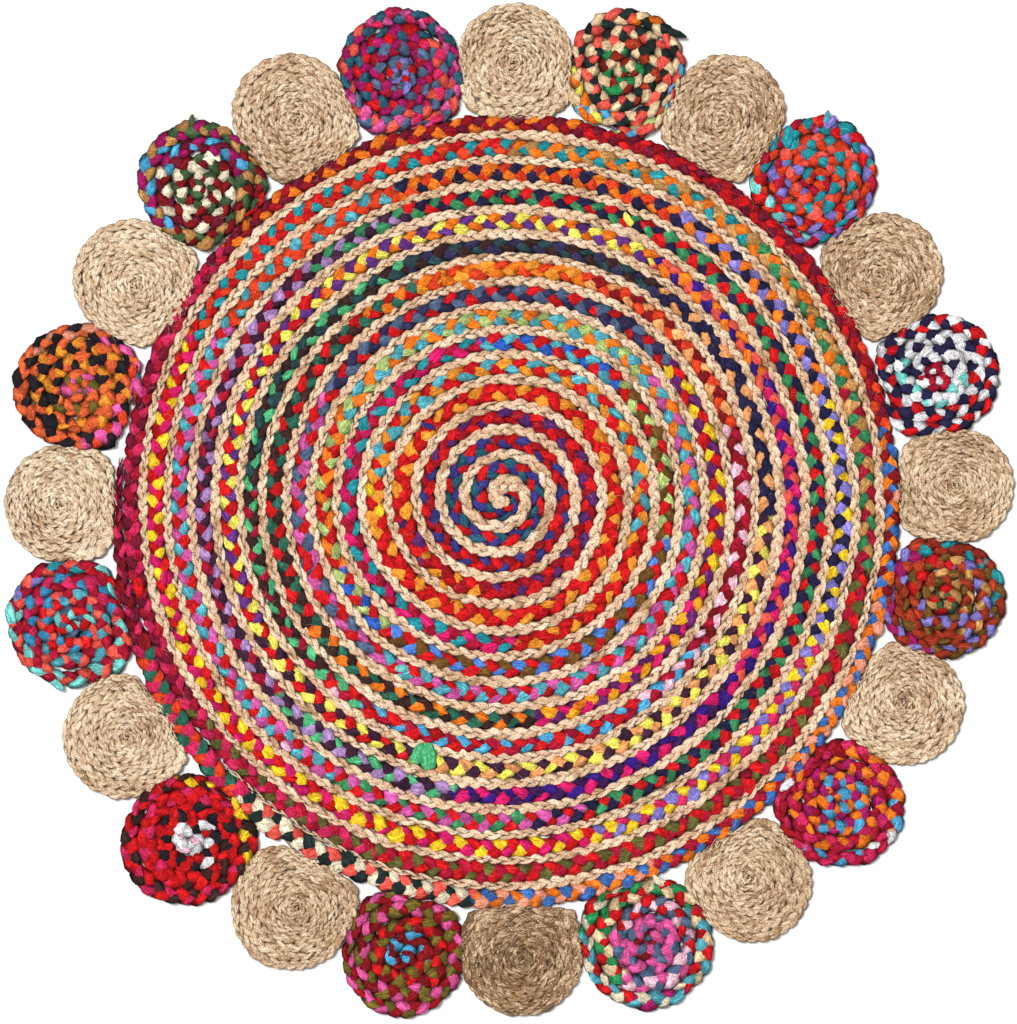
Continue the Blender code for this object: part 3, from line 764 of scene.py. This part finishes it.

# The three strips of each small coil, charted in the same way
COIL_STRIPS = {
    2: (
        "green 1.3 bottle 2.86 sky 2.98 lemon 3.08 bottle 3.52 sky 3.68 lime 3.8 sky",
        "brick 1.3 rust 1.8 coral 2.86 orange 3.08 coral 3.33 orange 3.42 coral",
        "sand 3.8 lime",
    ),
    4: (
        "crimson 0.8 orange_red 2.1 coral 2.6 red 3.0 crimson 3.25 lavender",
        "orange_red 0.8 coral 1.9 crimson 2.1 orange_red 3.25 red 3.45 crimson",
        "teal 0.8 lavender 1.2 teal 1.9 lavender 2.1 teal 2.6 lavender 2.86 aqua 3.0 teal 3.45 orange_red "
        "3.6 teal 3.75 aqua",
    ),
    6: (
        "crimson 0.9 navy 1.4 aqua 1.7 navy",
        "white",
        "crimson 0.9 white 1.7 aqua 2.0 white 2.4 red",
    ),
    8: (
        "sage 0.8 brown 1.8 rust 2.1 camel 2.5 brown 2.86 rust 3.2 teal 3.36 brown 3.5 lavender "
        "3.62 fuchsia",
        "camel 1.4 rust 1.8 brown 2.1 rust 2.86 lavender 2.98 teal 3.2 rust",
        "red 0.8 rust 1.4 lavender 1.8 red 2.1 lavender 2.5 rust 2.86 fuchsia 2.98 brick 3.2 brown "
        "3.36 lavender 3.5 brown 3.62 lavender",
    ),
    10: (
        "fuchsia 2.3 raspberry 3.02 crimson 3.42 sky 3.6 raspberry",
        "orange 2.86 crimson 3.02 orange 3.32 white 3.42 crimson",
        "sky 1.6 crimson 2.86 cherry 3.02 raspberry 3.22 sky 3.32 raspberry 3.6 cherry",
    ),
    12: (
        "dark_red 0.8 rose 1.7 pale_pink 2.2 rose 2.5 sand 3.3 cream",
        "slate 2.5 green 3.05 light_teal 3.68 green",
        "rose 1.7 red 2.2 pale_pink 2.5 red 3.3 fuchsia 3.45 red",
    ),
    14: (
        "sky 1.1 moss",
        "dark_red 1.1 red 2.2 rose",
        "dark_red 2.9 cherry",
    ),
    16: (
        "white 1.2 red 2.9 yellow 3.05 raspberry 3.7 yellow 3.8 red",
        "pale_pink 0.7 red 2.3 raspberry 2.9 red 3.8 raspberry",
        "white 0.7 black 2.0 bark 2.3 red 2.9 bark",
    ),
    18: (
        "aqua 0.9 sea 1.6 light_teal 2.3 sea 2.86 aqua 3.46 lavender 3.56 teal 3.7 aqua",
        "red 1.6 crimson 2.3 raspberry 2.86 crimson",
        "slate 0.9 coral 2.3 crimson 2.86 coral 3.7 red",
    ),
    20: (
        "moss 0.9 tangerine 1.2 black 1.8 tangerine 2.1 black 3.75 slate",
        "rose 0.9 moss 1.2 tangerine 1.8 honey 2.86 rose 3.05 tangerine 3.75 rose",
        "tangerine 1.2 honey 1.8 tangerine 2.86 orange_red 3.05 tangerine 3.4 salmon 3.61 rose "
        "3.75 orange_red",
    ),
    22: (
        "cream 2.3 wine 2.7 camel 3.75 red",
        "dark_red 1.2 sage 1.9 wine 2.3 sky 2.7 sage 3.08 sky 3.38 sage",
        "sage 1.2 dark_red 2.3 fuchsia 2.7 dark_red 3.08 fuchsia 3.6 dark_red",
    ),
    24: (
        "lavender 0.9 slate 1.9 deep_teal 2.5 slate 3.08 deep_teal 3.68 slate",
        "slate 0.9 crimson 1.9 red 2.5 raspberry 2.86 rose 3.08 fuchsia 3.3 rose 3.68 coral",
        "red 0.9 fuchsia 2.5 coral 3.3 raspberry 3.5 fuchsia 3.68 rose",
    ),
}

turns = np.arange(COIL_START, RING_COTTON_END, COIL_STEP)
period = np.interp(turns, (0.0, RING_COTTON_TURNS), RING_COTTON_PERIODS)
for number in range(2, 25, 2):
    path = coil_path(number, RING_COTTON_TURNS, turns, RING_COTTON_POWER)
    coil = plait(turns, path, period, 300 + number, RING_COTTON_LIE)
    dyes = dyes_along(coil, COIL_STRIPS[number], 400 + number)
    values = {"dye": dyes, "shade": painted_shade_of(coil, RING_COTTON_LIE)}
    piece = strands_object(f"cotton_coil_{number:02d}", coil, values, COTTON_FINISH, COTTON_GIRTH)
    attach(piece, "root")
    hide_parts(coil_node(number))

# ----------------------------------------------------------------------------
# Stray jute fibres. Fine straw-coloured hairs that have worked loose from the jute yarn and lie curled over
# the braids and round the edges of the jute coils.

RUG_TURNS = 15.0
FIBRE_COUNT = 620
FIBRES_ON_COIL = 26
FIBRE_OUTERMOST = 0.98
FIBRE_HALF = 0.00016
FIBRE_LIE = dict(lengths=(0.006, 0.018), curl=1.6, heights=(0.0078, 0.0104), steps=6)
FIBRE_TONE = (0.80, 0.15)
THREAD_SECTION = oval((90, 210, 330), 2.0)
THIN_ENDS = (0.7, 1.0, 1.0, 0.35)
SMALLEST_ARCH = 0.3

# The share of the area of the coiled middle, and of a small coil, that stays bare round its middle
BARE_MIDDLE = 0.001
BARE_COIL = 0.1


def curled_lines(random, starts, lengths, curl, heights, steps, headings=None):
    """Lines that leave each start in a heading, curl evenly to one side and arch up and down again.

    The heading at a share t of the length is h + c (t - 1/2), and the height is low + (high - low) sin(pi t).
    """
    count = len(starts)
    low, high = heights
    share = np.linspace(0.0, 1.0, steps)
    if headings is None:
        headings = random.uniform(0.0, 2.0 * math.pi, count)
    heading = headings[:, None] + random.normal(0.0, curl, (count, 1)) * (share - 0.5)
    stride = random.uniform(*lengths, (count, 1)) / (steps - 1)
    x = starts[:, :1] + np.cumsum(stride * np.cos(heading), axis=1)
    y = starts[:, 1:] + np.cumsum(stride * np.sin(heading), axis=1)
    rise = random.uniform(SMALLEST_ARCH, 1.0, (count, 1)) * (high - low) * np.sin(math.pi * share)
    return np.stack((x, y, low + rise), axis=-1)


def thin_strands(lines, half, section, flat=1.0):
    """Strands with one section all along, half as wide as given and flattened, and tapered at both ends."""
    steps = lines.shape[1]
    taper = np.interp(np.arange(steps), (0, 1, steps - 3, steps - 1), THIN_ENDS)
    wide = np.asarray(half).reshape(-1, 1, 1) * taper[None, :, None]
    x = wide * section[:, 0] + np.zeros((len(lines), 1, 1))
    y = flat * wide * section[:, 1] + np.zeros((len(lines), 1, 1))
    length = np.linalg.norm(np.diff(lines, axis=1), axis=-1).sum(axis=1).mean()
    return {"rings": rings_round(lines, x, y), "along": np.linspace(0.0, length, steps)}


def spots_over(random, numbers, in_middle, on_coil_each, outermost):
    """Spots spread evenly over the coiled middle, and over each of the small coils with these numbers."""
    turn = RUG_TURNS * np.sqrt(random.uniform(BARE_MIDDLE, 1.0, in_middle))
    spots = [on_coil(TURN_PITCH * (turn + random.uniform(0.0, 1.0, in_middle)), turn)]
    for number in numbers:
        middle, _, reaches = OUTLINES[number]
        angle = random.uniform(0.0, 2.0 * math.pi, on_coil_each)
        reach = np.median(reaches) * np.sqrt(random.uniform(BARE_COIL, outermost, on_coil_each))
        spots.append(middle + reach[:, None] * spoke(angle))
    return np.concatenate(spots)


random = np.random.default_rng(31)
starts = spots_over(random, range(1, 25, 2), FIBRE_COUNT, FIBRES_ON_COIL, FIBRE_OUTERMOST)
fibres = thin_strands(curled_lines(random, starts, **FIBRE_LIE), FIBRE_HALF, THREAD_SECTION)
tone = np.broadcast_to(random.normal(*FIBRE_TONE, (len(starts), 1, 1)), fibres["rings"].shape[:3])
values = {"tone": tone, "shade": np.ones(tone.shape)}
piece = strands_object("stray_jute_fibres", fibres, values, JUTE_FINISH, JUTE_GIRTH)
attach(piece, "root")

# ----------------------------------------------------------------------------
# Loose threads. Frayed cotton threads, pale and coloured, that curl out of the rag strips, and the ends of
# the sewing thread.

THREAD_COUNT = 260
THREADS_ON_COIL = 12
THREAD_HALF = 0.00018
THREAD_LIE = dict(lengths=(0.005, 0.018), curl=2.8, heights=(0.0084, 0.0108), steps=7)
THREAD_DYES = "cream white crimson red navy coral light_teal raspberry plum salmon".split()


def one_dye_each(strands, names):
    """Values for strands of one dye each, wholly in the light."""
    dyes = np.array([dye_of(name) for name in names])[:, None, None, :]
    dyes = np.broadcast_to(dyes, (*strands["rings"].shape[:3], 3))
    return {"dye": dyes, "shade": np.ones(dyes.shape[:3])}


random = np.random.default_rng(41)
starts = spots_over(random, range(2, 25, 2), THREAD_COUNT, THREADS_ON_COIL, 1.0)
threads = thin_strands(curled_lines(random, starts, **THREAD_LIE), THREAD_HALF, THREAD_SECTION)
names = [THREAD_DYES[index] for index in random.integers(0, len(THREAD_DYES), len(starts))]
piece = strands_object("loose_threads", threads, one_dye_each(threads, names), COTTON_FINISH, COTTON_GIRTH)
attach(piece, "root")

# ----------------------------------------------------------------------------
# Zigzag sewing. Two zigzag rows of strong thread hold the small coils: one where each meets the rim, and one
# where it meets the next coil.

STITCH_HALF = 0.00034
STITCH_REACH = 0.0032
STITCH_PITCH = 0.0042
SEAM_HEIGHT = 0.0088
RIM_SEAM_STITCHES = 13
SIDE_SEAM_STITCHES = 9
STITCH_DYES = ("cream", "crimson", "navy", "red")


def zigzag(middle, along, stitches):
    """A zigzag line round a spot, in a direction: one bend to each side by turns, a pitch apart."""
    step = np.arange(stitches) - (stitches - 1) / 2.0
    across = np.where(np.arange(stitches) % 2, STITCH_REACH, -STITCH_REACH)
    side = np.array((-along[1], along[0]))
    spots = middle + (STITCH_PITCH * step)[:, None] * along + across[:, None] * side
    return np.concatenate((spots, np.full((stitches, 1), SEAM_HEIGHT)), axis=1)


def seam_toward(number, goal, stitches):
    """Zigzag stitches along the edge of a small coil, where the way from its middle to a spot crosses it."""
    middle = OUTLINES[number][0]
    way = (goal - middle) / np.linalg.norm(goal - middle)
    touch = reach_toward(number, math.atan2(way[1], way[0]))
    return zigzag(middle + touch * way, np.array((-way[1], way[0])), stitches)


rim_lines = [seam_toward(number, np.zeros(2), RIM_SEAM_STITCHES) for number in OUTLINES]
side_lines = [seam_toward(number, OUTLINES[number % 24 + 1][0], SIDE_SEAM_STITCHES) for number in OUTLINES]
for name, lines in (("rim_sewing", rim_lines), ("side_sewing", side_lines)):
    sewing = thin_strands(np.array(lines), STITCH_HALF, THREAD_SECTION)
    names = [STITCH_DYES[index % len(STITCH_DYES)] for index in range(len(lines))]
    piece = strands_object(name, sewing, one_dye_each(sewing, names), COTTON_FINISH, COTTON_GIRTH)
    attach(piece, "root")

# ----------------------------------------------------------------------------
# Ends of cloth. Where two strips of rag are joined, the end of the old one sticks out over the braid as a
# flattened tab, and a few frayed tufts stand out at the edges of the small coils.

TAB_LIE = dict(curl=0.5, heights=(0.0076, 0.0102), steps=7)
TAB_FLAT = 0.22
TAB_SECTION = oval((0, 50, 130, 180, 230, 310), 2.4)

# For each tab: the turn that it lies on, its place across the pitch, its heading from straight outward in
# degrees, its length, its half width and its dye
CENTRE_TABS = (
    (3.33, 0.45, 30.0, 0.016, 0.0034, "violet_blue"),
    (3.055, 0.9, 70.0, 0.014, 0.003, "honey"),
    (5.3, 0.5, 40.0, 0.013, 0.0032, "light_teal"),
    (6.44, 0.95, 80.0, 0.017, 0.0042, "orange"),
    (7.03, 0.5, -60.0, 0.018, 0.0044, "aqua"),
    (7.16, 0.7, 75.0, 0.022, 0.0058, "red"),
    (7.43, 0.95, 60.0, 0.017, 0.0044, "orange"),
    (7.9, 0.6, 100.0, 0.018, 0.005, "orange"),
    (8.4, 0.6, -50.0, 0.015, 0.004, "orange_red"),
    (9.07, 0.85, 70.0, 0.014, 0.004, "pale_pink"),
    (9.992, 1.12, 198.0, 0.031, 0.0095, "mint"),
    (10.004, 1.05, 170.0, 0.026, 0.008, "mint"),
    (10.55, 0.8, 85.0, 0.015, 0.0038, "coral"),
    (11.52, 0.55, 60.0, 0.018, 0.0044, "lemon"),
    (12.07, 0.75, 80.0, 0.015, 0.004, "pale_pink"),
    (12.8, 0.8, 75.0, 0.015, 0.004, "lavender"),
    (13.17, 0.6, 80.0, 0.016, 0.0042, "magenta"),
    (13.62, 0.7, -80.0, 0.018, 0.0046, "camel"),
    (14.17, 0.7, 85.0, 0.024, 0.006, "red"),
    (14.7, 0.75, 80.0, 0.016, 0.004, "salmon"),
)

# The same on the small coils: the coil, the direction from its middle, its distance from the middle as a
# share of the reach, its heading from straight outward in degrees, its length, its half width and its dye
COIL_TABS = (
    (2, 52.0, 0.9, -72.0, 0.026, 0.0042, "bottle"),
    (2, 213.0, 0.9, 85.0, 0.018, 0.0042, "orange"),
    (2, 226.0, 0.82, 85.0, 0.016, 0.004, "lemon"),
    (2, 300.0, 0.98, -100.0, 0.024, 0.0055, "coral"),
    (4, 135.0, 0.8, -60.0, 0.026, 0.007, "teal"),
    (4, 84.0, 0.86, -50.0, 0.02, 0.0052, "lavender"),
    (4, 80.0, 0.84, -5.0, 0.018, 0.0034, "light_teal"),
    (10, 150.0, 0.9, 70.0, 0.02, 0.005, "white"),
    (12, 70.0, 0.92, 80.0, 0.018, 0.0044, "cream"),
    (16, 30.0, 0.9, 80.0, 0.016, 0.004, "yellow"),
    (18, 250.0, 0.96, 70.0, 0.018, 0.0044, "aqua"),
    (22, 100.0, 0.9, -10.0, 0.014, 0.0034, "sage"),
    (20, 12.0, 0.88, -80.0, 0.024, 0.0052, "rose"),
    (18, 185.0, 0.9, -85.0, 0.026, 0.006, "aqua"),
    (24, 300.0, 0.92, 80.0, 0.018, 0.0046, "raspberry"),
)

tabs = []
for turn, across, *cut in CENTRE_TABS:
    start = on_coil(TURN_PITCH * (turn + across), np.float64(turn))
    tabs.append((start, 2.0 * math.pi * (START_DIRECTION - turn), *cut))
for number, direction_deg, share, *cut in COIL_TABS:
    outward = math.radians(direction_deg)
    start = OUTLINES[number][0] + share * reach_toward(number, outward) * spoke(outward)
    tabs.append((start, outward, *cut))
random = np.random.default_rng(51)
lines = []
for start, outward, turned, length, _, _ in tabs:
    heading = np.array([outward + math.radians(turned)])
    lines.append(curled_lines(random, start[None], (length, length), headings=heading, **TAB_LIE)[0])
ends = thin_strands(np.array(lines), [tab[4] for tab in tabs], TAB_SECTION, TAB_FLAT)
values = one_dye_each(ends, [tab[5] for tab in tabs])
piece = strands_object("cloth_ends", ends, values, COTTON_FINISH, COTTON_GIRTH)
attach(piece, "root")

# ----------------------------------------------------------------------------
# The studio: a plain near-white floor, a wide soft light from the upper left, a white surround, and a camera
# that looks straight down from high up.

FLOOR_HALF = 40.0
FLOOR_GREY = 0.93
SUN_STRENGTH = 3.0
SUN_ANGLE = 24.0
SUN_TILT = (-17.0, -23.0)
SURROUND = 0.42
FRAME_HEIGHT = 1.2118
CAMERA_PLACE = (-0.0006, -0.0024, 6.0)
SENSOR = 36.0

floor_mesh = bpy.data.meshes.new("studio_floor")
corners = [(-1, -1), (1, -1), (1, 1), (-1, 1)]
floor_mesh.from_pydata([(FLOOR_HALF * x, FLOOR_HALF * y, 0.0) for x, y in corners], [], [(0, 1, 2, 3)])
floor = bpy.data.objects.new("studio_floor", floor_mesh)
bpy.context.scene.collection.objects.link(floor)
floor_finish = Finish("studio_floor")
floor_finish.feed(floor_finish.shader.inputs["Base Color"], (FLOOR_GREY,) * 3)
floor_finish.feed(floor_finish.shader.inputs["Roughness"], 0.9)
floor_mesh.materials.append(floor_finish.material)

key = bpy.data.lights.new("soft_key", "SUN")
key.energy = SUN_STRENGTH
key.angle = math.radians(SUN_ANGLE)
key_object = bpy.data.objects.new("soft_key", key)
key_object.rotation_euler = (math.radians(SUN_TILT[0]), math.radians(SUN_TILT[1]), 0.0)
bpy.context.scene.collection.objects.link(key_object)

world = bpy.data.worlds.new("studio")
world.use_nodes = True
world.node_tree.nodes["Background"].inputs["Color"].default_value = (1.0, 1.0, 1.0, 1.0)
world.node_tree.nodes["Background"].inputs["Strength"].default_value = SURROUND
bpy.context.scene.world = world
bpy.context.scene.view_settings.view_transform = "Standard"

camera = bpy.data.cameras.new("camera")
camera.sensor_width = SENSOR
camera.lens = SENSOR * (CAMERA_PLACE[2] - COTTON_HEIGHT) / FRAME_HEIGHT
camera.clip_end = 100.0
camera_object = bpy.data.objects.new("camera", camera)
camera_object.location = CAMERA_PLACE
bpy.context.scene.collection.objects.link(camera_object)
bpy.context.scene.camera = camera_object
